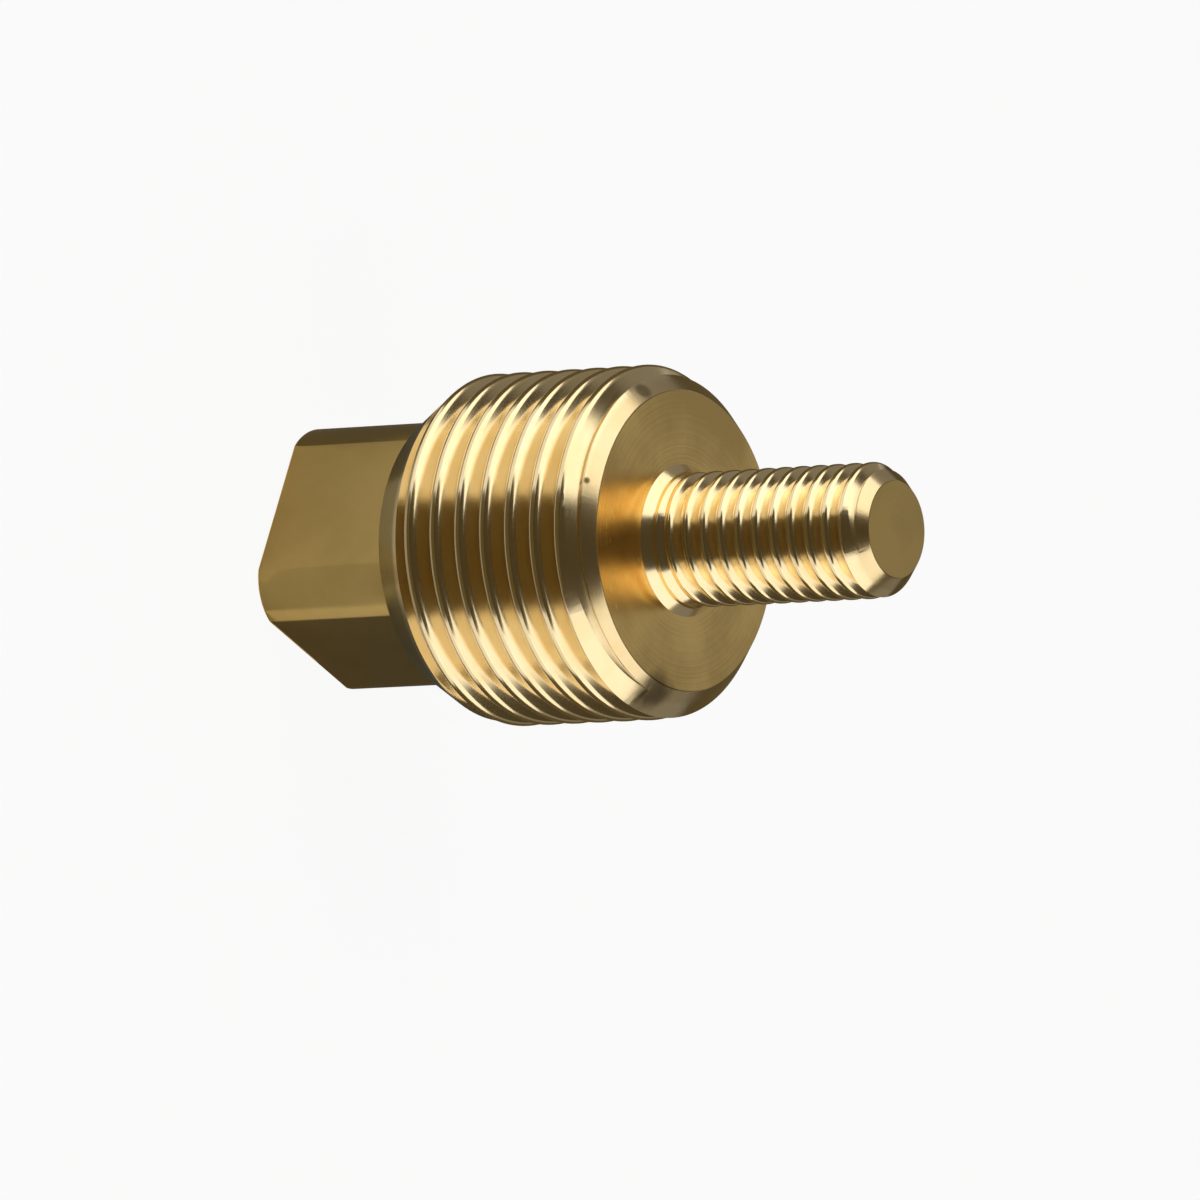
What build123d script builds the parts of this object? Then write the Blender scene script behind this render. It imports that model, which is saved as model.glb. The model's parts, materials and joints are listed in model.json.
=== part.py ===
from build123d import *
from math import ceil, cos, pi, radians, sin, sqrt, tan
import os

# A one-piece turned brass plug, standing on its square head, axis along +Z.
# The head's end face is at Z = 0, the pipe thread above it and the stud on top.

# Square head that a wrench turns
head_across_flats = 13.0
head_length = 9.6
head_corner_cut = 2.3
head_corner_bow = 0.39
head_edge_break = 0.25

# Body with a half-inch parallel pipe thread, 14 to the inch
body_thread_diameter = 20.955
body_thread_pitch = 1.8143
body_thread_angle = 55.0
body_length = 16.2
body_back_diameter = 17.0
body_back_cone_length = 3.2
body_front_chamfer = 1.6

# The groove's bearing where it starts at the body's back face, in degrees
body_thread_bearing = 123.0

# Stud on the front face, at the full diameter of its fine thread
stud_diameter = 8.0
stud_length = 15.2
stud_tip_chamfer = 1.15
stud_base_cone = 0.5

# How far the thread's cutting shape stands clear of the metal
cut_clearance = 0.12

# Depth of a pipe thread, as a part of its pitch
thread_depth_ratio = 0.640327

body_radius = body_thread_diameter / 2
stud_radius = stud_diameter / 2
face_z = head_length + body_length
tip_z = face_z + stud_length


def head_section():
    """Square with bowed corners, as four flats and four arcs."""
    half = head_across_flats / 2
    end = half - head_corner_cut
    middle = (half + end) / 2 + head_corner_bow / sqrt(2)
    flat = Line((half, -end), (half, end))
    corner = ThreePointArc((half, end), (middle, middle), (end, half))
    sides = []
    for quarter in range(4):
        turn = Rot(0, 0, 90 * quarter)
        sides.append(turn * flat)
        sides.append(turn * corner)
    return make_face(sides)


def square_head():
    """The head, its end edge broken by a narrow slope."""
    section = Pos(0, 0, head_edge_break) * head_section()
    end_face = scale(head_section(), by=1 - 2 * head_edge_break / head_across_flats)
    slope = loft([end_face, section], ruled=True)
    return slope + extrude(section, amount=head_length - head_edge_break)


def turned_blank():
    """Everything turned above the head, before the thread is cut."""
    outline = Polyline(
        (0, head_length),
        (body_back_diameter / 2, head_length),
        (body_radius, head_length + body_back_cone_length),
        (body_radius, face_z - body_front_chamfer),
        (body_radius - body_front_chamfer, face_z),
        (stud_radius + stud_base_cone, face_z),
        (stud_radius, face_z + stud_base_cone),
        (stud_radius, tip_z - stud_tip_chamfer),
        (stud_radius - stud_tip_chamfer, tip_z),
        (0, tip_z),
        close=True,
    )
    return revolve(Plane.XZ * make_face(outline), Axis.Z)


def thread_groove(start_z, end_z):
    """Right-hand helical vee groove that runs out past both ends of the body."""
    pitch = body_thread_pitch
    depth = thread_depth_ratio * pitch
    mouth = (depth + cut_clearance) * tan(radians(body_thread_angle / 2))
    outer = body_radius + cut_clearance
    inner = body_radius - depth
    corners = ((-mouth, outer), (0, inner), (mouth, outer))
    quarters = ceil((end_z - start_z) / pitch * 4)

    def point(turns, corner):
        across, reach = corner
        bearing = radians(360 * turns + body_thread_bearing)
        return Vector(reach * cos(bearing), reach * sin(bearing), start_z + pitch * turns + across)

    def heading(turns, corner):
        reach = corner[1]
        bearing = radians(360 * turns + body_thread_bearing)
        return Vector(-reach * sin(bearing), reach * cos(bearing), pitch / (2 * pi)).normalized()

    faces = []
    for quarter in range(quarters):
        stops = [(quarter + step / 4) / 4 for step in range(5)]
        edges = []
        for corner in corners:
            ends = [heading(stops[0], corner), heading(stops[-1], corner)]
            edges.append(Edge.make_spline([point(stop, corner) for stop in stops], tangents=ends))
        for index in range(3):
            faces.append(Face.make_surface_from_curves(edges[index], edges[(index + 1) % 3]))
    for turns in (0, quarters / 4):
        faces.append(Face(Wire.make_polygon([point(turns, corner) for corner in corners])))
    return Solid(Shell(faces))


groove = thread_groove(head_length, face_z + body_thread_pitch / 2)
plug = turned_blank() - groove + square_head()

os.makedirs("parts", exist_ok=True)
export_step(plug, "parts/plug.step")
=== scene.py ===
"""Dresses the frame of a turned brass plug that stands on its square head."""

import json
import logging
from dataclasses import dataclass
from enum import Enum
from math import asin, atan2, ceil, cos, degrees, pi, radians, sin, sqrt, tan
from typing import Any, Mapping, Optional, Sequence, Union

import bmesh
import bpy
from mathutils import Matrix, Vector


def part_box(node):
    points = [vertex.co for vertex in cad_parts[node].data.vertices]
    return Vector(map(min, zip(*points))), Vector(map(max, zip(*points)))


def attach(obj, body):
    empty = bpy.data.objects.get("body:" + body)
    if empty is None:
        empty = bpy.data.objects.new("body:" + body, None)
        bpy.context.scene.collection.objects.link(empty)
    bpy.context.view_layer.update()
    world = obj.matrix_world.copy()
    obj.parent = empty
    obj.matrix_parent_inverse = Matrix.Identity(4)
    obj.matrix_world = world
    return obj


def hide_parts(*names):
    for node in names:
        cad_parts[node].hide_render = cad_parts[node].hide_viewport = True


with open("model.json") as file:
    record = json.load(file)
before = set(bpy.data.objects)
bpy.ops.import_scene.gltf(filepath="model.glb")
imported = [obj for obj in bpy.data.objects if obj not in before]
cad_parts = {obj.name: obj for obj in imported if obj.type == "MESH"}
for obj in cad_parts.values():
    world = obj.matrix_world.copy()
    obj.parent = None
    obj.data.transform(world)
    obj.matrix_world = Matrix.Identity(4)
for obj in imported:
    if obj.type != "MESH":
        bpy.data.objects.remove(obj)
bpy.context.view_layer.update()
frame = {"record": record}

LOG = logging.getLogger("threaded_plug")
NODE = "plug"
BODY = "root"
MM = 0.001
AXIS = Vector((0.0, 0.0, 1.0))
ORIGIN = Vector((0.0, 0.0, 0.0))
MERGE = 0.001 * MM
EVEN_PROFILE = 0.5
KEEP_MATERIAL = -1
NOISE_MIDDLE = 0.5

# How far a cutting solid, and a rod before it is cut, stand clear of the metal
SPARE = 0.3 * MM
ROD_SPARE = 1.0 * MM

Tone = tuple[float, float, float]
Number = Union[float, "Value"]
Paint = Union[Tone, "Value"]


class Cut(Enum):
    """How a second solid changes the first."""

    COMMON = "INTERSECT"
    ADD = "UNION"


class ToolMarks(Enum):
    """Which way the marks of the last cut run."""

    ROUND_THE_AXIS = "turned"
    ALONG_A_FLAT = "milled"


class CardTone(Enum):
    """Colours of the cards that the metal mirrors."""

    BROWN = (0.20, 0.16, 0.075)
    NEAR_BLACK = (0.20, 0.20, 0.19)
    CHARCOAL = (0.22, 0.22, 0.21)
    SOFT_GREY = (0.57, 0.57, 0.55)
    MIDDLE_GREY = (0.58, 0.58, 0.56)
    LIGHT_GREY = (0.67, 0.67, 0.65)
    PALE = (0.86, 0.86, 0.83)
    WHITE = (0.95, 0.95, 0.92)


def mount(name: str) -> Mapping[str, Any]:
    """Returns the record's mount of that name."""
    return next(entry for entry in frame["record"]["mounts"] if entry["name"] == name)


@dataclass(frozen=True)
class FrameSizes:
    """Sizes of the plug that the frame gives, in metres.

    Attributes:
        body_radius: Crest radius of the pipe thread.
        tip_z: Height of the stud's tip.
        face_z: Height of the front face round the stud.
        stud_radius: Crest radius of the stud's thread.
        head_half: Half of the head's width across its flats.
    """

    body_radius: float
    tip_z: float
    face_z: float
    stud_radius: float
    head_half: float

    @classmethod
    def read(cls) -> "FrameSizes":
        """Returns the sizes from the node's box and the record's mounts."""
        low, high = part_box(NODE)
        return cls(
            body_radius=float(high[0] - low[0]) / 2,
            tip_z=float(high[2]),
            face_z=mount("front_face")["pos_m"][2],
            stud_radius=mount("stud_thread")["dims"]["r_mm"] * MM,
            head_half=mount("wrench_flat_right")["pos_m"][0],
        )


@dataclass(frozen=True)
class Corner:
    """A corner of a turned outline: radius, height and the round that breaks it."""

    radius: float
    height: float
    edge: float = 0.0


def chain(bm: bmesh.types.BMesh, corners: Sequence[Corner], segments: int = 5) -> None:
    """Adds an open outline in the XZ plane and rounds its corners.

    Args:
        bm: Mesh that gets the outline.
        corners: Corners in order, each with its round.
        segments: Number of edges in a rounded corner.
    """
    verts = [bm.verts.new((corner.radius, 0.0, corner.height)) for corner in corners]
    for pair in zip(verts, verts[1:]):
        bm.edges.new(pair)
    for vert, corner in zip(verts, corners):
        if corner.edge > 0.0:
            bmesh.ops.bevel(
                bm,
                geom=[vert],
                offset=corner.edge,
                offset_type="OFFSET",
                segments=segments,
                profile=EVEN_PROFILE,
                affect="VERTICES",
                clamp_overlap=False,
                material=KEEP_MATERIAL,
            )


def turned(corners: Sequence[Corner], steps: int) -> bmesh.types.BMesh:
    """Turns an outline about the plug's axis.

    Args:
        corners: Outline from the axis at the bottom to the axis at the top.
        steps: Facets round the axis.

    Returns:
        A closed mesh with its faces outwards.
    """
    bm = bmesh.new()
    chain(bm, corners)
    bmesh.ops.spin(
        bm,
        geom=bm.verts[:] + bm.edges[:],
        cent=ORIGIN,
        axis=AXIS,
        angle=2 * pi,
        steps=steps,
        use_merge=True,
    )
    bmesh.ops.remove_doubles(bm, verts=bm.verts[:], dist=MERGE)
    bmesh.ops.recalc_face_normals(bm, faces=bm.faces[:])
    return bm


@dataclass(frozen=True)
class ThreadForm:
    """Section of a screw thread, in metres and degrees.

    Attributes:
        pitch: Rise in one turn.
        angle_deg: Angle between the two flanks.
        depth: Radial depth from crest to root.
        crest_flat: Width of the crest before it is rounded.
        crest_round: Length that the round takes off the crest and the flank.
        root_round: Length that the round takes off the root and the flank.
        round_steps: Edges in each round.
    """

    pitch: float
    angle_deg: float
    depth: float
    crest_flat: float
    crest_round: float
    root_round: float
    round_steps: int = 6

    def one_turn(self, crest_radius: float, root_z: float) -> list[Corner]:
        """Lists the section's corners over one pitch, from root to root.

        Args:
            crest_radius: Radius of the crest.
            root_z: Height of the first root's middle.

        Returns:
            The corners, in rising order.
        """
        flank = self.depth * tan(radians(self.angle_deg / 2))
        root_half = (self.pitch - self.crest_flat) / 2 - flank
        root_radius = crest_radius - self.depth
        return [
            Corner(root_radius, root_z),
            Corner(root_radius, root_z + root_half, self.root_round),
            Corner(crest_radius, root_z + root_half + flank, self.crest_round),
            Corner(crest_radius, root_z + self.pitch - root_half - flank, self.crest_round),
            Corner(root_radius, root_z + self.pitch - root_half, self.root_round),
            Corner(root_radius, root_z + self.pitch),
        ]

    def rod(self, radius: float, low: float, high: float, root_z: float, steps: int) -> bmesh.types.BMesh:
        """Screws the section up the axis into a threaded rod.

        Args:
            radius: Crest radius.
            low: Height of the rod's lower end.
            high: Height of the rod's upper end.
            root_z: Height of a root on the +X side, at any turn.
            steps: Facets in one turn.

        Returns:
            A closed mesh of a right-hand thread with flat ends.
        """
        first = root_z - self.pitch * (ceil((root_z - low) / self.pitch) + 1)
        turns = ceil((high - first) / self.pitch)
        bm = bmesh.new()
        chain(bm, self.one_turn(radius, first), self.round_steps)
        bmesh.ops.spin(
            bm,
            geom=bm.verts[:] + bm.edges[:],
            cent=ORIGIN,
            axis=AXIS,
            dvec=AXIS * (self.pitch / steps),
            angle=2 * pi,
            steps=steps,
        )
        ribbon = bm.verts[:] + bm.edges[:] + bm.faces[:]
        for turn in range(1, turns):
            copied = bmesh.ops.duplicate(bm, geom=ribbon)["geom"]
            risen = [item for item in copied if isinstance(item, bmesh.types.BMVert)]
            bmesh.ops.translate(bm, verts=risen, vec=AXIS * (self.pitch * turn))
        bmesh.ops.remove_doubles(bm, verts=bm.verts[:], dist=MERGE)
        for height, outward in ((low, -AXIS), (high, AXIS)):
            bmesh.ops.bisect_plane(
                bm,
                geom=bm.verts[:] + bm.edges[:] + bm.faces[:],
                dist=MERGE,
                plane_co=AXIS * height,
                plane_no=outward,
                clear_outer=True,
            )
        rims = [edge for edge in bm.edges if edge.is_boundary]
        bmesh.ops.edgeloop_fill(bm, edges=rims)
        bmesh.ops.recalc_face_normals(bm, faces=bm.faces[:])
        return bm


def as_object(bm: bmesh.types.BMesh, name: str) -> bpy.types.Object:
    """Puts a bmesh into the scene as an object at the origin.

    Args:
        bm: Mesh to keep; it is freed.
        name: Name of the object and its mesh.

    Returns:
        The new object.
    """
    mesh = bpy.data.meshes.new(name)
    bm.to_mesh(mesh)
    bm.free()
    obj = bpy.data.objects.new(name, mesh)
    bpy.context.scene.collection.objects.link(obj)
    return obj


def combine(base: bpy.types.Object, tool: bpy.types.Object, cut: Cut) -> None:
    """Changes a solid by a second one, which is then removed.

    Args:
        base: Solid that stays.
        tool: Solid that is used up.
        cut: What the second solid does.
    """
    modifier = base.modifiers.new(cut.name, "BOOLEAN")
    modifier.operation = cut.value
    modifier.solver = "MANIFOLD"
    modifier.object = tool
    graph = bpy.context.evaluated_depsgraph_get()
    mesh = bpy.data.meshes.new_from_object(base.evaluated_get(graph))
    base.modifiers.clear()
    spent = [base.data, tool.data]
    base.data = mesh
    bpy.data.objects.remove(tool)
    for old in spent:
        bpy.data.meshes.remove(old)


def smooth(obj: bpy.types.Object, sharp_deg: float) -> None:
    """Shades a piece smooth up to an angle, with its large faces kept flat.

    Args:
        obj: Piece to shade.
        sharp_deg: Edges that turn more than this stay sharp.
    """
    obj.data.polygons.foreach_set("use_smooth", [True] * len(obj.data.polygons))
    obj.data.set_sharp_from_angle(angle=radians(sharp_deg))
    weights = obj.modifiers.new("large faces lead", "WEIGHTED_NORMAL")
    weights.keep_sharp = True


class Value:
    """A shader value whose sums become Math nodes."""

    def __init__(self, recipe: "Recipe", socket: bpy.types.NodeSocket) -> None:
        """Keeps the recipe and the socket that the value comes from."""
        self.recipe = recipe
        self.socket = socket

    def _math(self, operation: str, first: Number, second: Number) -> "Value":
        """Returns a Math node's result on two operands."""
        return self.recipe.node("ShaderNodeMath", {"operation": operation}, {0: first, 1: second})

    def __add__(self, other: Number) -> "Value":
        """Returns the sum."""
        return self._math("ADD", self, other)

    def __radd__(self, other: Number) -> "Value":
        """Returns the sum with a number on the left."""
        return self._math("ADD", other, self)

    def __sub__(self, other: Number) -> "Value":
        """Returns the difference."""
        return self._math("SUBTRACT", self, other)

    def __rsub__(self, other: Number) -> "Value":
        """Returns the difference from a number on the left."""
        return self._math("SUBTRACT", other, self)

    def __mul__(self, other: Number) -> "Value":
        """Returns the product."""
        return self._math("MULTIPLY", self, other)

    def __rmul__(self, other: Number) -> "Value":
        """Returns the product with a number on the left."""
        return self._math("MULTIPLY", other, self)

    def __pow__(self, other: Number) -> "Value":
        """Returns the power."""
        return self._math("POWER", self, other)

    def at_most(self, other: Number) -> "Value":
        """Returns the lesser of the two."""
        return self._math("MINIMUM", self, other)

    def step_up(self, low: float, high: float) -> "Value":
        """Returns 0 below low, 1 above high and a soft step between."""
        settings = {"interpolation_type": "SMOOTHSTEP", "clamp": True}
        return self.recipe.node("ShaderNodeMapRange", settings, {0: self, 1: low, 2: high, 3: 0.0, 4: 1.0})


class Recipe:
    """The node tree of one material."""

    def __init__(self, name: str) -> None:
        """Starts an empty material of that name."""
        self.material = bpy.data.materials.new(name)
        self.material.use_nodes = True
        self.tree = self.material.node_tree
        self.tree.nodes.clear()

    def add(
        self,
        kind: str,
        settings: Optional[Mapping[str, Any]] = None,
        sockets: Optional[Mapping[Union[int, str], Any]] = None,
    ) -> bpy.types.Node:
        """Adds a node.

        Args:
            kind: Type of the node.
            settings: Properties, set before the sockets.
            sockets: Numbers, colours or values by socket.

        Returns:
            The new node.
        """
        made = self.tree.nodes.new(kind)
        for key, setting in (settings or {}).items():
            setattr(made, key, setting)
        for key, content in (sockets or {}).items():
            if isinstance(content, Value):
                self.tree.links.new(content.socket, made.inputs[key])
            else:
                made.inputs[key].default_value = content
        return made

    def node(
        self,
        kind: str,
        settings: Optional[Mapping[str, Any]] = None,
        sockets: Optional[Mapping[Union[int, str], Any]] = None,
        output: Union[int, str] = 0,
    ) -> Value:
        """Adds a node for the sake of one output.

        Args:
            kind: Type of the node.
            settings: Properties, set before the sockets.
            sockets: Numbers, colours or values by socket.
            output: Socket that is returned.

        Returns:
            The value of the chosen output.
        """
        return Value(self, self.add(kind, settings, sockets).outputs[output])

    def values(self, made: bpy.types.Node, names: Sequence[str]) -> list[Value]:
        """Returns the values of a node's outputs, by name."""
        return [Value(self, made.outputs[name]) for name in names]

    def noise(self, place: Value, scale: float, detail: float, roughness: float) -> Value:
        """Returns a cloudy pattern over the Object coordinates.

        Args:
            place: Coordinates.
            scale: Patches in a metre.
            detail: Finer layers that are added.
            roughness: Strength of each finer layer.

        Returns:
            The pattern, about 0 to 1.
        """
        sockets = {"Vector": place, "Scale": scale, "Detail": detail, "Roughness": roughness}
        return self.node("ShaderNodeTexNoise", sockets=sockets)

    def mix(self, share: Number, first: Paint, second: Paint) -> Value:
        """Returns a colour between two, by a share from 0 to 1."""
        settings = {"data_type": "RGBA", "clamp_factor": True}
        ends = [paint if isinstance(paint, Value) else (*paint, 1.0) for paint in (first, second)]
        return self.node("ShaderNodeMix", settings, {0: share, 6: ends[0], 7: ends[1]}, 2)

    def close(self, shader: Value) -> bpy.types.Material:
        """Wires a shader to the output and returns the material."""
        self.add("ShaderNodeOutputMaterial", sockets={"Surface": shader})
        return self.material


@dataclass(frozen=True)
class Spot:
    """A stained place: its middle, its reach and how dark it is from 0 to 1."""

    middle: tuple[float, float, float]
    reach: float
    depth: float


@dataclass(frozen=True)
class Brass:
    """Bare machined brass, with optional painted shade toward a thread's root and below a height.

    Attributes:
        name: Name of the material.
        roughness: Mean roughness.
        clean: Colour of fresh metal.
        dull: Colour where it has dulled a little.
        faced: Colour of the plain faces.
        faced_dim: Colour of the plain faces where they are duller.
        root_shade: Painted shade colour deep in a thread.
        cone_shade: Painted shade colour for the cone behind the thread, next to the head.
        stain: Colour of a stained place.
        face_z: Height of a plain face that has the faces' colour, or none.
        shade_below_z: Height below which the metal gets painted shade, or none.
        groove_top: Radius where the painted root shade begins, or none for a plain surface.
        groove_bottom: Radius where the painted root shade is deepest.
        root_shade_share: Share of the painted shade colour where it is deepest.
        root_rough: Roughness added toward the thread's root.
        marks: Which way the tool marks run.
        mark_width: Width of a tool mark.
        mark_height: Height of a tool mark.
        mark_slant: Slope of the marks across a flat.
        mark_rough: Spread of roughness from mark to mark.
        cloud_scale: Duller patches in a metre.
        cloud_band: Noise levels where the metal starts to dull and is dull.
        cloud_rough: Spread of roughness from patch to patch.
        face_skin: Depths under a plain face where its colour starts and is full.
        face_scale: Darker patches in a metre on a plain face.
        face_band: Noise levels where a plain face starts to dim and is dim.
        face_marks: Share of the tool marks in a plain face's darker patches.
        face_rough: Roughness that a plain face adds.
        shade_blend: Height over which the painted shade fades, to each side.
        spots: Stained places.
        spot_core: Share of a spot's reach that is fully stained.
    """

    name: str
    roughness: float = 0.16
    clean: Tone = (0.90, 0.73, 0.44)
    dull: Tone = (0.86, 0.67, 0.36)
    faced: Tone = (0.95, 0.68, 0.26)
    faced_dim: Tone = (0.66, 0.46, 0.17)
    root_shade: Tone = (0.52, 0.34, 0.12)
    cone_shade: Tone = (0.47, 0.37, 0.13)
    stain: Tone = (0.10, 0.07, 0.03)
    face_z: Optional[float] = None
    shade_below_z: Optional[float] = None
    groove_top: Optional[float] = None
    groove_bottom: Optional[float] = None
    root_shade_share: float = 0.25
    root_rough: float = 0.05
    marks: ToolMarks = ToolMarks.ROUND_THE_AXIS
    mark_width: float = 0.12 * MM
    mark_height: float = 0.0006 * MM
    mark_slant: float = 0.15
    mark_rough: float = 0.06
    cloud_scale: float = 0.35 / MM
    cloud_band: tuple[float, float] = (0.35, 0.75)
    cloud_rough: float = 0.10
    face_skin: tuple[float, float] = (0.03 * MM, 0.01 * MM)
    face_scale: float = 0.16 / MM
    face_band: tuple[float, float] = (0.36, 0.62)
    face_marks: float = 0.15
    face_rough: float = 0.04
    shade_blend: float = 0.2 * MM
    spots: tuple[Spot, ...] = ()
    spot_core: float = 0.4

    def tool_marks(self, recipe: Recipe, x: Value, y: Value, z: Value, radius: Value) -> Value:
        """Draws the fine marks of the last cut.

        Args:
            recipe: Material that gets the nodes.
            x: Place along X.
            y: Place along Y.
            z: Height.
            radius: Distance from the axis.

        Returns:
            The marks, about 0 to 1.
        """
        if self.marks is ToolMarks.ROUND_THE_AXIS:
            across = radius + z
        else:
            across = z + x * self.mark_slant + y * self.mark_slant
        sockets = {"W": across * (1.0 / self.mark_width), "Scale": 1.0, "Detail": 2.0, "Roughness": 0.6}
        return recipe.node("ShaderNodeTexNoise", {"noise_dimensions": "1D"}, sockets)

    def material(self) -> bpy.types.Material:
        """Returns the material, made anew."""
        recipe = Recipe(self.name)
        place = recipe.node("ShaderNodeTexCoord", output="Object")
        x, y, z = recipe.values(recipe.add("ShaderNodeSeparateXYZ", sockets={0: place}), "XYZ")
        radius = (x * x + y * y) ** 0.5
        marks = self.tool_marks(recipe, x, y, z, radius)
        clouds = recipe.noise(place, self.cloud_scale, detail=3.0, roughness=0.55)
        drift = clouds - NOISE_MIDDLE
        colour = recipe.mix(clouds.step_up(*self.cloud_band), self.clean, self.dull)
        rough = self.roughness + drift * self.cloud_rough + (marks - NOISE_MIDDLE) * self.mark_rough
        # Painted shade: the colour darkens toward the thread's root, where shade falls, and the metal
        # there is rougher.
        if self.groove_top is not None and self.groove_bottom is not None:
            rootward = 1.0 - radius.step_up(self.groove_bottom, self.groove_top)
            colour = recipe.mix(rootward * self.root_shade_share, colour, self.root_shade)
            rough = rough + rootward * self.root_rough
        if self.face_z is not None:
            face = z.step_up(*(self.face_z - depth for depth in self.face_skin))
            # Darker patches on a plain face, from broad noise and the tool marks.
            broad = recipe.noise(place, self.face_scale, detail=4.0, roughness=0.5)
            face_mottle = (broad * (1.0 - self.face_marks) + marks * self.face_marks).step_up(*self.face_band)
            colour = recipe.mix(face, colour, recipe.mix(face_mottle, self.faced, self.faced_dim))
            rough = rough + face * self.face_rough
        # Painted shade: the metal below this height, on the cone between the head and the thread, is
        # painted darker.
        if self.shade_below_z is not None:
            low = 1.0 - z.step_up(self.shade_below_z - self.shade_blend, self.shade_below_z + self.shade_blend)
            colour = recipe.mix(low, colour, self.cone_shade)
        for spot in self.spots:
            ends = {0: place, 1: spot.middle}
            away = recipe.node("ShaderNodeVectorMath", {"operation": "DISTANCE"}, ends, "Value")
            clear = (away + drift * spot.reach).step_up(self.spot_core * spot.reach, spot.reach)
            colour = recipe.mix((1.0 - clear) * spot.depth, colour, self.stain)
        relief = {"Strength": 1.0, "Distance": self.mark_height, "Height": marks}
        bump = recipe.node("ShaderNodeBump", sockets=relief)
        metal = {"Base Color": colour, "Metallic": 1.0, "Roughness": rough, "Normal": bump}
        return recipe.close(recipe.node("ShaderNodeBsdfPrincipled", sockets=metal))


def dress(obj: bpy.types.Object, brass: Brass, sharp_deg: float) -> None:
    """Finishes a piece of the plug and hangs it on the frame.

    Args:
        obj: Piece, in its place.
        brass: Its finish.
        sharp_deg: Edges that turn more than this stay sharp.
    """
    smooth(obj, sharp_deg)
    obj.data.materials.clear()
    obj.data.materials.append(brass.material())
    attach(obj, BODY)
    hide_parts(NODE)


@dataclass
class SquareHead:
    """The wrench head: four flats and four bowed corners.

    Attributes:
        half: Half of the width across flats.
        length: Height of the head under the body.
        corner_cut: Length that a corner takes off each flat.
        corner_bow: Rise of a corner over its chord.
        sunk: Depth that the head reaches into the body.
        edge: Round along the end and the corners' lines.
        edge_steps: Facets in that round.
        kink_deg: Lines that turn more than this are rounded.
        corner_steps: Facets in a corner.
        sharp_deg: Edges that turn more than this stay sharp.
    """

    half: float
    length: float = 9.6 * MM
    corner_cut: float = 2.3 * MM
    corner_bow: float = 0.39 * MM
    sunk: float = 0.5 * MM
    edge: float = 0.12 * MM
    edge_steps: int = 3
    kink_deg: float = 10.0
    corner_steps: int = 12
    sharp_deg: float = 40.0

    def section(self, bm: bmesh.types.BMesh) -> bmesh.types.BMFace:
        """Draws the head's section at the floor.

        Args:
            bm: Mesh that gets the section.

        Returns:
            The section as one face.
        """
        end = self.half - self.corner_cut
        chord = self.corner_cut * sqrt(2.0)
        bow_radius = (chord * chord / 4 + self.corner_bow * self.corner_bow) / (2 * self.corner_bow)
        sweep = 2 * asin(chord / 2 / bow_radius)
        middle = (self.half + end) / 2 + self.corner_bow / sqrt(2.0)
        centre = middle - bow_radius / sqrt(2.0)
        starts, ends = [], []
        for quarter in range(4):
            turn = Matrix.Rotation(quarter * pi / 2, 3, "Z")
            starts.append(bm.verts.new(turn @ Vector((self.half, end, 0.0))))
            swept = bmesh.ops.spin(
                bm,
                geom=starts[-1:],
                cent=turn @ Vector((centre, centre, 0.0)),
                axis=AXIS,
                angle=sweep,
                steps=self.corner_steps,
            )
            ends.append(swept["geom_last"][0])
        for pair in zip(ends, starts[1:] + starts[:1]):
            bm.edges.new(pair)
        return bmesh.ops.edgeloop_fill(bm, edges=bm.edges[:])["faces"][0]

    def build(self) -> bpy.types.Object:
        """Returns the head as an object."""
        bm = bmesh.new()
        face = self.section(bm)
        raised = bmesh.ops.extrude_face_region(bm, geom=[face], use_keep_orig=True)
        top = [item for item in raised["geom"] if isinstance(item, bmesh.types.BMVert)]
        bmesh.ops.translate(bm, verts=top, vec=AXIS * (self.length + self.sunk))
        bmesh.ops.recalc_face_normals(bm, faces=bm.faces[:])
        kinks = [edge for edge in bm.edges if edge.calc_face_angle(0.0) > radians(self.kink_deg)]
        bmesh.ops.bevel(
            bm,
            geom=kinks,
            offset=self.edge,
            offset_type="OFFSET",
            segments=self.edge_steps,
            profile=EVEN_PROFILE,
            affect="EDGES",
            clamp_overlap=True,
            material=KEEP_MATERIAL,
        )
        return as_object(bm, "square_head")

    def dress(self, obj: bpy.types.Object) -> None:
        """Gives the head its milled brass."""
        brass = Brass(
            "milled brass",
            roughness=0.22,
            clean=(0.80, 0.57, 0.21),
            dull=(0.74, 0.52, 0.18),
            marks=ToolMarks.ALONG_A_FLAT,
        )
        dress(obj, brass, self.sharp_deg)


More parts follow.
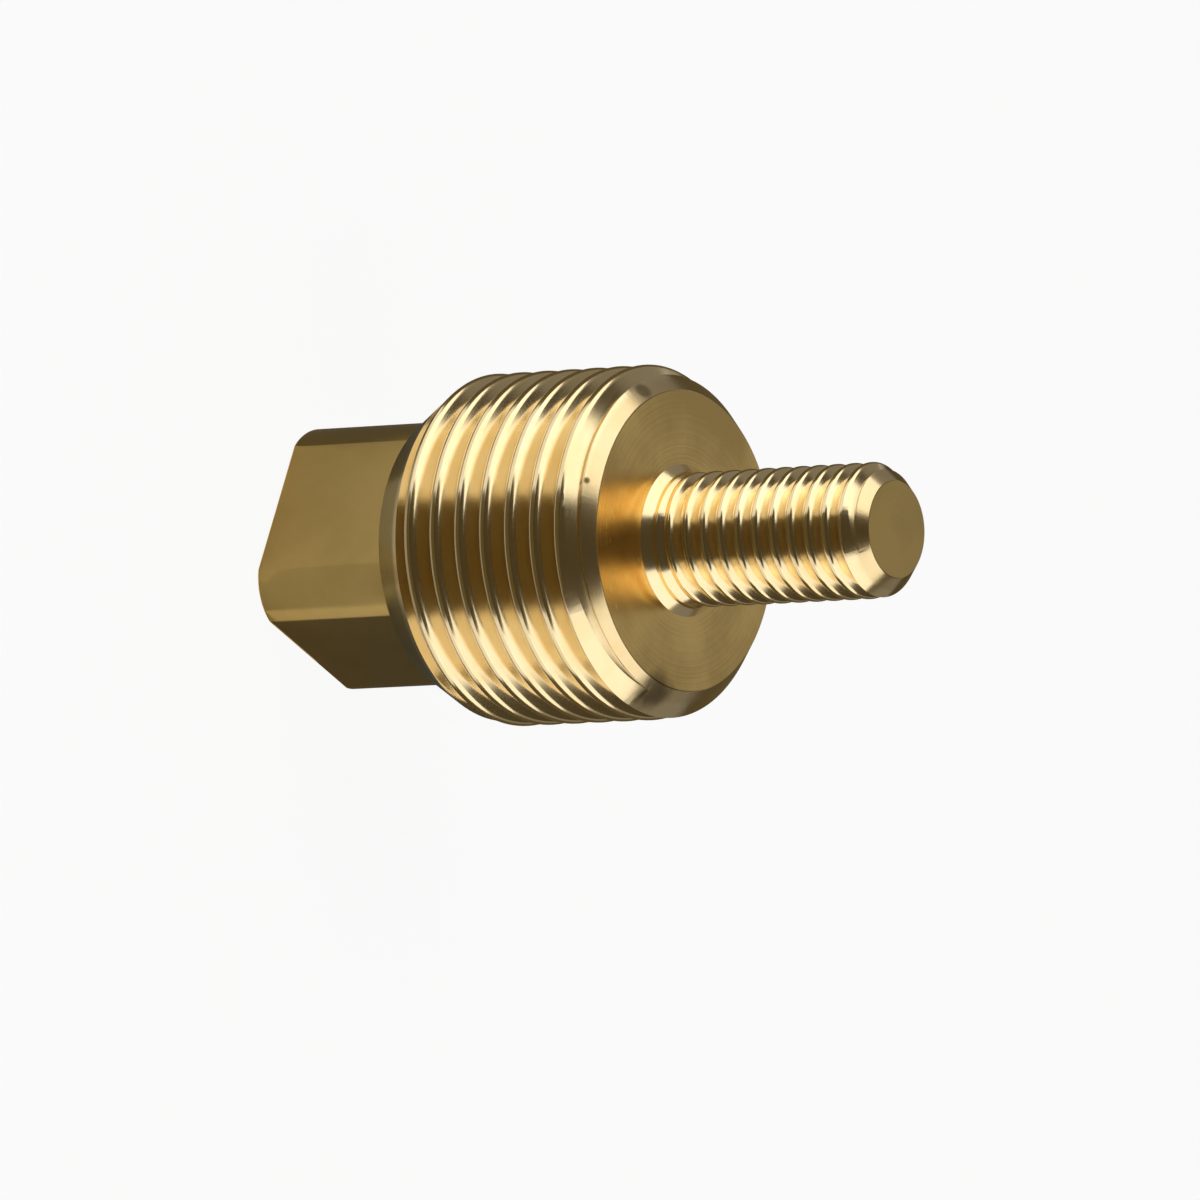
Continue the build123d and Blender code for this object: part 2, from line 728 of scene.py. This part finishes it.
@dataclass
class PipeThreadBody:
    """The body with its pipe thread, a cone behind and a chamfer in front.

    Attributes:
        radius: Crest radius.
        back_z: Height of the back face.
        face_z: Height of the front face.
        back_radius: Radius of the back face.
        cone_length: Length of the cone behind the thread.
        chamfer: Size of the chamfer in front.
        pitch: Pitch of the thread.
        bearing_deg: Bearing of the groove's middle at the back face.
        edge: Round of the turned edges.
        steps: Facets round the axis.
        sharp_deg: Edges that turn more than this stay sharp.
        shaded_cone_share: Share of the cone, from the back face, that gets painted shade.
        unshaded_share: Share of the thread's depth, from the crest, that has no painted shade.
        spots: Stained places.
    """

    radius: float
    back_z: float
    face_z: float
    back_radius: float = 8.5 * MM
    cone_length: float = 3.2 * MM
    chamfer: float = 1.6 * MM
    pitch: float = 1.8143 * MM
    bearing_deg: float = 123.0
    edge: float = 0.07 * MM
    steps: int = 144
    sharp_deg: float = 14.0
    shaded_cone_share: float = 0.6
    unshaded_share: float = 0.7
    spots: tuple[Spot, ...] = (
        Spot((1.07 * MM, -9.43 * MM, 25.18 * MM), 0.32 * MM, 0.95),
        Spot((9.26 * MM, 1.57 * MM, 25.29 * MM), 1.9 * MM, 0.8),
        Spot((-6.30 * MM, -6.90 * MM, 25.30 * MM), 0.7 * MM, 0.6),
    )

    @property
    def form(self) -> ThreadForm:
        """The pipe thread's section, rounded at crest and root."""
        return ThreadForm(
            pitch=self.pitch,
            angle_deg=55.0,
            depth=0.60 * self.pitch,
            crest_flat=0.30 * self.pitch,
            crest_round=0.13 * self.pitch,
            root_round=0.02 * self.pitch,
        )

    def build(self) -> bpy.types.Object:
        """Returns the body as an object."""
        outer = self.radius + SPARE
        rise = SPARE * self.cone_length / (self.radius - self.back_radius)
        blank = turned(
            [
                Corner(0.0, self.back_z),
                Corner(self.back_radius, self.back_z, self.edge),
                Corner(outer, self.back_z + self.cone_length + rise),
                Corner(outer, self.face_z - self.chamfer - SPARE),
                Corner(self.radius - self.chamfer, self.face_z, self.edge),
                Corner(0.0, self.face_z),
            ],
            self.steps,
        )
        root_z = self.back_z - self.pitch * self.bearing_deg / 360.0
        low, high = self.back_z - ROD_SPARE, self.face_z + ROD_SPARE
        rod = self.form.rod(self.radius, low, high, root_z, self.steps)
        body = as_object(rod, "pipe_thread_body")
        combine(body, as_object(blank, "body_blank"), Cut.COMMON)
        return body

    def dress(self, obj: bpy.types.Object) -> None:
        """Gives the body its turned brass, with painted shade toward the thread roots and on the cone
        behind the thread.
        """
        brass = Brass(
            "turned brass, body",
            face_z=self.face_z,
            # Painted shade on the lower part of the cone, next to the head.
            shade_below_z=self.back_z + self.shaded_cone_share * self.cone_length,
            # Painted shade toward the thread roots.
            groove_top=self.radius - self.unshaded_share * self.form.depth,
            groove_bottom=self.radius - self.form.depth,
            spots=self.spots,
        )
        dress(obj, brass, self.sharp_deg)


@dataclass
class ThreadedStud:
    """The slim stud: a plain neck, a thread that runs out and a chamfered tip.

    Attributes:
        radius: Crest radius.
        face_z: Height of the face that it stands on.
        tip_z: Height of its tip.
        base_cone: Size of the cone at its foot.
        neck: Length of the plain neck above the face.
        run_out_turns: Turns over which the thread fades in.
        tip_chamfer: Size of the chamfer at the tip.
        pitch: Pitch of the thread.
        bearing_deg: Bearing of the groove's middle at the face.
        sunk: Depth that the stud reaches into the body.
        overlap: Depth that the plain neck and the thread share.
        edge: Round of the turned edges.
        steps: Facets round the axis.
        sharp_deg: Edges that turn more than this stay sharp.
        unshaded_share: Share of the thread's depth, from the crest, that has no painted shade.
    """

    radius: float
    face_z: float
    tip_z: float
    base_cone: float = 0.5 * MM
    neck: float = 0.75 * MM
    run_out_turns: float = 1.0
    tip_chamfer: float = 1.15 * MM
    pitch: float = 1.25 * MM
    bearing_deg: float = 40.0
    sunk: float = 0.3 * MM
    overlap: float = 0.02 * MM
    edge: float = 0.05 * MM
    steps: int = 96
    sharp_deg: float = 14.0
    unshaded_share: float = 0.6

    @property
    def form(self) -> ThreadForm:
        """The fine thread's section, with a narrow crest."""
        return ThreadForm(
            pitch=self.pitch,
            angle_deg=60.0,
            depth=0.50 * self.pitch,
            crest_flat=0.32 * self.pitch,
            crest_round=0.12 * self.pitch,
            root_round=0.02 * self.pitch,
        )

    def build(self) -> bpy.types.Object:
        """Returns the stud as an object."""
        foot_z = self.face_z - self.sunk
        foot_radius = self.radius + self.base_cone
        neck_radius = self.radius + self.overlap
        core_radius = self.radius - self.form.depth - self.overlap
        fade_z = self.face_z + self.neck + self.run_out_turns * self.pitch
        shank = turned(
            [
                Corner(0.0, foot_z),
                Corner(foot_radius, foot_z),
                Corner(foot_radius, self.face_z),
                Corner(neck_radius, self.face_z + self.base_cone, self.edge),
                Corner(neck_radius, self.face_z + self.neck, self.edge),
                Corner(core_radius, fade_z),
                Corner(0.0, fade_z),
            ],
            self.steps,
        )
        outer = foot_radius + SPARE
        blank = turned(
            [
                Corner(0.0, foot_z),
                Corner(outer, foot_z),
                Corner(outer, self.tip_z - self.tip_chamfer - self.base_cone - SPARE),
                Corner(self.radius - self.tip_chamfer, self.tip_z, self.edge),
                Corner(0.0, self.tip_z),
            ],
            self.steps,
        )
        root_z = self.face_z - self.pitch * self.bearing_deg / 360.0
        low, high = self.face_z - SPARE / 2, self.tip_z + ROD_SPARE
        rod = self.form.rod(self.radius, low, high, root_z, self.steps)
        stud = as_object(rod, "threaded_stud")
        combine(stud, as_object(shank, "stud_shank"), Cut.ADD)
        combine(stud, as_object(blank, "stud_blank"), Cut.COMMON)
        return stud

    def dress(self, obj: bpy.types.Object) -> None:
        """Gives the stud its turned brass, with painted shade toward the thread roots."""
        brass = Brass(
            "turned brass, stud",
            faced=(0.72, 0.51, 0.19),
            faced_dim=(0.60, 0.43, 0.16),
            face_z=self.tip_z,
            # Painted shade toward the thread roots.
            groove_top=self.radius - self.unshaded_share * self.form.depth,
            groove_bottom=self.radius - self.form.depth,
        )
        dress(obj, brass, self.sharp_deg)


@dataclass(frozen=True)
class PhotoCamera:
    """The photograph's point of view, rolled so that the plug's axis lies across.

    Attributes:
        rise_deg: Angle of the line of sight over the plane square to the axis.
        turn_deg: Bearing of the line of sight, from the front flat's own.
        roll_deg: Angle of the axis to the picture's lower edge.
        distance: Distance from the camera to the aim.
        aim_z: Height on the axis of the point that is aimed at.
        aim_pixel: That point in the photograph, from its upper left corner.
        picture: Width of the photograph in pixels.
        pixel: Size of a pixel at the aim.
        sensor_mm: Width of the sensor.
    """

    rise_deg: float = 36.0
    turn_deg: float = 30.0
    roll_deg: float = 2.93
    distance: float = 1.0
    aim_z: float = 18.5 * MM
    aim_pixel: tuple[float, float] = (585.1, 545.9)
    picture: float = 1200.0
    pixel: float = MM / 16.92
    sensor_mm: float = 36.0

    @property
    def toward(self) -> Vector:
        """The level direction from the plug to the camera."""
        turn = radians(self.turn_deg)
        return Vector((sin(turn), -cos(turn), 0.0))

    @property
    def aside(self) -> Vector:
        """The level direction that the picture shows as up."""
        return self.toward.cross(AXIS)

    @property
    def bearing_deg(self) -> float:
        """The bearing of the camera from the plug, from +X."""
        return degrees(atan2(self.toward.y, self.toward.x))

    def floor_spot(self, forward: float, up: float) -> Vector:
        """Returns a point of the floor, by its way toward the camera and up in the picture."""
        return self.toward * forward + self.aside * up

    def place(self) -> bpy.types.Object:
        """Puts the camera in the scene and returns it."""
        rise = radians(self.rise_deg)
        roll = radians(self.roll_deg)
        sight = AXIS * sin(rise) + self.toward * cos(rise)
        along = AXIS * cos(rise) - self.toward * sin(rise)
        right = along * cos(roll) - self.aside * sin(roll)
        up = along * sin(roll) + self.aside * cos(roll)
        shift_x = (self.picture / 2 - self.aim_pixel[0]) * self.pixel
        shift_y = (self.aim_pixel[1] - self.picture / 2) * self.pixel
        spot = AXIS * self.aim_z + sight * self.distance + right * shift_x + up * shift_y
        data = bpy.data.cameras.new("photo_camera")
        data.sensor_fit = "HORIZONTAL"
        data.sensor_width = self.sensor_mm
        data.lens = self.sensor_mm * self.distance / (self.picture * self.pixel)
        camera = bpy.data.objects.new("photo_camera", data)
        camera.matrix_world = Matrix.Translation(spot) @ Matrix((right, up, sight)).transposed().to_4x4()
        bpy.context.scene.collection.objects.link(camera)
        bpy.context.scene.camera = camera
        return camera


@dataclass(frozen=True)
class Panel:
    """A soft panel of light that stands beside the plug.

    Attributes:
        name: Name of the lamp.
        side: Level direction from the plug to the panel's nearest point.
        along: Level direction along the panel.
        distance: Distance to the panel.
        start: Where it starts along that direction.
        end: Where it ends.
        low: Height of its lower edge.
        high: Height of its upper edge.
        radiance: Its brightness.
    """

    name: str
    side: Vector
    along: Vector
    distance: float
    start: float
    end: float
    low: float
    high: float
    radiance: float

    def place(self) -> None:
        """Puts the panel in the scene, unseen by the camera."""
        width = self.end - self.start
        height = self.high - self.low
        data = bpy.data.lights.new(self.name, "AREA")
        data.shape = "RECTANGLE"
        data.size = width
        data.size_y = height
        data.energy = pi * self.radiance * width * height
        lamp = bpy.data.objects.new(self.name, data)
        spot = self.side * self.distance + self.along * (self.start + self.end) / 2
        spot = spot + AXIS * (self.low + self.high) / 2
        turn = Matrix((AXIS.cross(self.side), AXIS, self.side)).transposed().to_4x4()
        lamp.matrix_world = Matrix.Translation(spot) @ turn
        lamp.visible_camera = False
        bpy.context.scene.collection.objects.link(lamp)


@dataclass(frozen=True)
class Card:
    """A plain card that lies on the floor, as a sector of a ring.

    Attributes:
        name: Name of the card.
        tone: Its colour.
        inner: Inner radius.
        outer: Outer radius.
        start_deg: Azimuth where it starts, from the camera's and positive up in the picture.
        end_deg: Azimuth where it ends.
        centre: Middle of the ring.
        height: Height over the floor.
        steps: Edges along its arc.
    """

    name: str
    tone: CardTone
    inner: float
    outer: float
    start_deg: float
    end_deg: float
    centre: Vector = ORIGIN
    height: float = 0.1 * MM
    steps: int = 32

    def place(self, facing_deg: float) -> None:
        """Puts the card in the scene, seen in reflections only.

        Args:
            facing_deg: Bearing of the camera.
        """
        bm = bmesh.new()
        turn = Matrix.Rotation(radians(facing_deg - self.end_deg), 3, "Z")
        reaches = (self.inner, self.outer)
        ends = [self.centre + turn @ Vector((reach, 0.0, self.height)) for reach in reaches]
        edge = bm.edges.new([bm.verts.new(end) for end in ends])
        bmesh.ops.spin(
            bm,
            geom=list(edge.verts) + [edge],
            cent=self.centre,
            axis=AXIS,
            angle=radians(self.end_deg - self.start_deg),
            steps=self.steps,
        )
        bmesh.ops.recalc_face_normals(bm, faces=bm.faces[:])
        obj = as_object(bm, self.name)
        recipe = Recipe(self.name)
        paint = recipe.node("ShaderNodeBsdfDiffuse", sockets={"Color": (*self.tone.value, 1.0)})
        obj.data.materials.append(recipe.close(paint))
        obj.visible_camera = False
        obj.visible_diffuse = False
        obj.visible_shadow = False
        obj.visible_transmission = False


@dataclass
class Studio:
    """A pale floor, soft panels and cards that shade the metal.

    Attributes:
        camera: The point of view that the lights stand round.
        floor_radius: Radius of the floor.
        floor_grey: Reflectance of the floor.
        floor_white: Share of plain white in the floor.
        surround: Colour of the dim room.
        side_distance: Distance from the axis to the side panels.
        side_top: Height of the side panels.
        upper_span_deg: Azimuths of the upper panel's back and front ends.
        lower_span_deg: Azimuths of the lower panel's back and front ends.
        fill_end_deg: Azimuth where the dim fills behind the side panels end.
        fill_radiance: Brightness of the fills.
        back_distance: Distance from the axis to the back panel.
        back_half: Half of the back panel's width.
        near: Radius of the cards that the head mirrors.
        under: Radius of the cards that the head's corner mirrors.
        under_flat: Radius of the card that the lower flat mirrors.
        far: Radius of the cards that the threads mirror.
        flat_foot: Foot of the line where the lower flat starts, toward the camera and up.
        stripe_foot: Foot of the line where the corner's bright stripe starts, likewise.
    """

    camera: PhotoCamera
    floor_radius: float = 4.0
    floor_grey: float = 0.88
    floor_white: float = 0.92
    surround: Tone = (0.065, 0.053, 0.03)
    side_distance: float = 0.30
    side_top: float = 0.95
    upper_span_deg: tuple[float, float] = (116.0, 45.0)
    lower_span_deg: tuple[float, float] = (113.0, 48.0)
    fill_end_deg: float = 154.0
    fill_radiance: float = 0.16
    back_distance: float = 0.6
    back_half: float = 0.32
    near: float = 23.0 * MM
    under: float = 13.8 * MM
    under_flat: float = 20.7 * MM
    far: float = 3.5
    flat_foot: tuple[float, float] = (6.89 * MM, -3.53 * MM)
    stripe_foot: tuple[float, float] = (7.36 * MM, -2.87 * MM)

    def floor(self) -> None:
        """Lays the floor, which keeps the plug's shadow."""
        bm = bmesh.new()
        bmesh.ops.create_circle(bm, cap_ends=True, segments=64, radius=self.floor_radius)
        obj = as_object(bm, "floor")
        recipe = Recipe("pale floor")
        grey = (self.floor_grey, self.floor_grey, self.floor_grey, 1.0)
        paint = recipe.node("ShaderNodeBsdfDiffuse", sockets={"Color": grey})
        glow = {"Color": (1.0, 1.0, 1.0, 1.0), "Strength": 1.0}
        white = recipe.node("ShaderNodeEmission", sockets=glow)
        kinds = ("Is Camera Ray", "Is Glossy Ray", "Is Transmission Ray")
        seen, mirrored, through = recipe.values(recipe.add("ShaderNodeLightPath"), kinds)
        share = (seen + mirrored + through).at_most(1.0) * self.floor_white
        both = recipe.node("ShaderNodeMixShader", sockets={0: share, 1: paint, 2: white})
        obj.data.materials.append(recipe.close(both))

    def along_at(self, azimuth_deg: float) -> float:
        """Returns the place along a side panel at an azimuth from the camera's."""
        return self.side_distance / tan(radians(azimuth_deg))

    def side_panel(
        self, name: str, side: Vector, span_deg: tuple[float, float], top: float, radiance: float
    ) -> Panel:
        """Makes a panel that stands on the floor beside the plug.

        Args:
            name: Name of the lamp.
            side: Level direction from the plug to the panel.
            span_deg: Azimuths of its back and front ends, from the camera's.
            top: Its height.
            radiance: Its brightness.

        Returns:
            The panel, not yet in the scene.
        """
        back, front = (self.along_at(azimuth) for azimuth in span_deg)
        return Panel(
            name,
            side=side,
            along=self.camera.toward,
            distance=self.side_distance,
            start=back,
            end=front,
            low=0.0,
            high=top,
            radiance=radiance,
        )

    def lights(self) -> None:
        """Sets the panels and the dim room."""
        up, down = self.camera.aside, -self.camera.aside
        upper, lower = self.upper_span_deg, self.lower_span_deg
        upper_fill = (self.fill_end_deg, upper[0])
        lower_fill = (self.fill_end_deg, lower[0])
        self.side_panel("upper panel", up, upper, self.side_top, radiance=1.40).place()
        self.side_panel("lower panel", down, lower, self.side_top, radiance=1.20).place()
        self.side_panel("upper fill", up, upper_fill, top=0.26, radiance=self.fill_radiance).place()
        self.side_panel("lower fill", down, lower_fill, top=0.15, radiance=self.fill_radiance).place()
        Panel(
            "back panel",
            side=-self.camera.toward,
            along=self.camera.aside,
            distance=self.back_distance,
            start=-self.back_half,
            end=self.back_half,
            low=0.05,
            high=1.1,
            radiance=0.26,
        ).place()
        world = bpy.data.worlds.new("dim room")
        world.use_nodes = True
        room = world.node_tree.nodes["Background"]
        room.inputs["Color"].default_value = (*self.surround, 1.0)
        bpy.context.scene.world = world

    def cards(self) -> None:
        """Lays the cards round the plug, the higher ones over the lower ones."""
        flat_foot = self.camera.floor_spot(*self.flat_foot)
        stripe_foot = self.camera.floor_spot(*self.stripe_foot)
        near, far, under, flat = self.near, self.far, self.under, self.under_flat
        over, top = 0.15 * MM, 0.2 * MM
        for card in (
            Card("front dark card", CardTone.BROWN, near, far, -37.0, 34.0),
            Card("back dark card", CardTone.BROWN, near, far, 91.0, 281.0),
            Card("near back card", CardTone.CHARCOAL, 0.0, near, 63.0, 292.0),
            Card("near grey card", CardTone.LIGHT_GREY, 0.0, near, -8.0, 63.0),
            Card("near middle card", CardTone.MIDDLE_GREY, 0.0, near, -30.0, -8.0),
            Card("near pale card", CardTone.PALE, 0.0, near, -68.0, -30.0),
            Card("under corner card", CardTone.SOFT_GREY, 0.0, under, -58.0, 52.0, stripe_foot, over),
            Card("corner stripe card", CardTone.WHITE, 0.0, under, -102.0, -58.0, stripe_foot, over),
            Card("under flat card", CardTone.NEAR_BLACK, 0.0, flat, -200.0, -102.0, flat_foot, top),
        ):
            card.place(self.camera.bearing_deg)

    def build(self) -> None:
        """Sets the whole stage."""
        self.floor()
        self.lights()
        self.cards()
        bpy.context.scene.view_settings.view_transform = "Standard"


def main() -> None:
    """Builds the plug's pieces, the stage and the camera, in order."""
    logging.basicConfig(level=logging.INFO, format="%(message)s")
    sizes = FrameSizes.read()
    head = SquareHead(sizes.head_half)
    body = PipeThreadBody(sizes.body_radius, head.length, sizes.face_z)
    stud = ThreadedStud(sizes.stud_radius, sizes.face_z, sizes.tip_z)
    for piece in (head, body, stud):
        obj = piece.build()
        piece.dress(obj)
        obj.data.calc_loop_triangles()
        LOG.info("%s: %d triangles", obj.name, len(obj.data.loop_triangles))
    camera = PhotoCamera()
    camera.place()
    Studio(camera).build()


if __name__ == "__main__":
    main()
